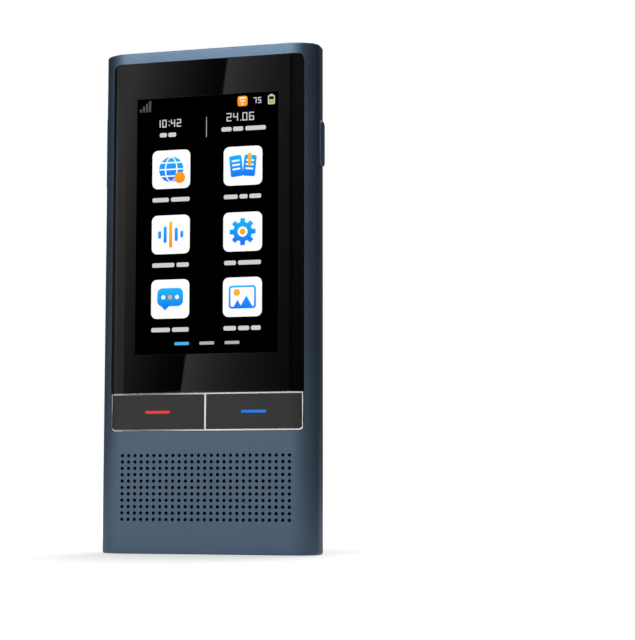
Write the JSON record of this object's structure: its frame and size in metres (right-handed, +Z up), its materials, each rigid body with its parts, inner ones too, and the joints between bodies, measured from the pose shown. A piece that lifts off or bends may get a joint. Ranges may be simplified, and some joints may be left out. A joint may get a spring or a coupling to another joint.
{
  "type": "handheld translator",
  "caption": "Slim upright handheld translator with a tall touch screen, split talk keys over a speaker grille, side keys, a card tray and a rear camera.",
  "frame": {"origin": "middle of the foot that the device stands on, centred in width and depth", "axes": "+Z up along the length, -Y out of the screen, +X towards the power button side"},
  "size_m": [0.06, 0.0148, 0.133],
  "materials": {
    "body_paint": "satin metallic blue lacquer over moulded plastic",
    "cover_glass": "polished, with a black printed back",
    "bright_trim": "bright polished",
    "key_plastic": "smooth, half gloss",
    "red_inlay": "smooth",
    "blue_inlay": "smooth",
    "display": "dark laminated panel",
    "foam": "soft black foam",
    "stamped_metal": "stamped sheet",
    "circuit_board": "green laminate",
    "battery_wrap": "dark foil wrap",
    "black_moulding": "moulded, fine grain",
    "flat_cable": "amber film",
    "mesh_cloth": "fine black woven mesh",
    "clear_lens": "clear, polished",
    "lamp_phosphor": "yellow phosphor",
    "camera_optic": "coated optical glass",
    "screw_steel": "plain steel"
  },
  "bodies": {
    "housing": {"front_shell": "body_paint", "rear_cover": "body_paint", "cover_glass": "cover_glass", "glass_gasket": "foam", "display_panel": "display", "display_cushion": "foam", "display_flex": "flat_cable", "key_trim": "bright_trim", "key_board": "circuit_board", "left_key_dome": "stamped_metal", "right_key_dome": "stamped_metal", "grille_mesh": "mesh_cloth", "speaker_gasket": "foam", "loudspeaker": "black_moulding", "middle_frame": "stamped_metal", "main_board": "circuit_board", "radio_shield": "stamped_metal", "processor_shield": "stamped_metal", "battery": "battery_wrap", "lower_board": "circuit_board", "link_flex": "flat_cable", "charging_socket": "stamped_metal", "vibration_motor": "stamped_metal", "bottom_microphone": "stamped_metal", "top_microphone": "stamped_metal", "power_switch_board": "circuit_board", "power_switch": "black_moulding", "volume_switch_board": "circuit_board", "volume_up_switch": "black_moulding", "volume_down_switch": "black_moulding", "card_reader": "stamped_metal", "camera_bezel": "bright_trim", "camera_glass": "cover_glass", "camera_module": "black_moulding", "camera_lens": "camera_optic", "flash_lens": "clear_lens", "flash_lamp": "lamp_phosphor", "aerial_carrier": "black_moulding", "frame_screw_1": "screw_steel", "frame_screw_2": "screw_steel", "frame_screw_3": "screw_steel", "frame_screw_4": "screw_steel", "board_screw_1": "screw_steel", "board_screw_2": "screw_steel", "lower_screw_1": "screw_steel", "lower_screw_2": "screw_steel", "lower_screw_3": "screw_steel", "lower_screw_4": "screw_steel"},
    "left_talk_key": {"left_key": "key_plastic", "left_key_mark": "red_inlay"},
    "right_talk_key": {"right_key": "key_plastic", "right_key_mark": "blue_inlay"},
    "power_key": {"power_button": "body_paint"},
    "volume_key": {"volume_rocker": "body_paint"},
    "tray": {"card_tray": "body_paint"}
  },
  "joints": [
    {"name": "left_key_press", "type": "slide", "parent": "housing", "child": "left_talk_key", "axis": [0, 1, 0], "range_m": [0, 0.00035], "stiffness_N_per_m": 3000, "springref_m": -0.0002},
    {"name": "right_key_press", "type": "slide", "parent": "housing", "child": "right_talk_key", "axis": [0, 1, 0], "range_m": [0, 0.00035], "stiffness_N_per_m": 3000, "springref_m": -0.0002},
    {"name": "power_button_press", "type": "slide", "parent": "housing", "child": "power_key", "axis": [-1, 0, 0], "range_m": [0, 0.0003], "stiffness_N_per_m": 4000, "springref_m": -0.0002},
    {"name": "volume_rocker_tilt", "type": "hinge", "parent": "housing", "child": "volume_key", "pos_m": [-0.0283, -0.00108, 0.1069], "axis": [0, 1, 0], "range_deg": [-2, 2], "stiffness_Nm_per_rad": 0.22},
    {"name": "card_tray_slide", "type": "slide", "parent": "housing", "child": "tray", "axis": [-1, 0, 0], "range_m": [0, 0.018]}
  ]
}
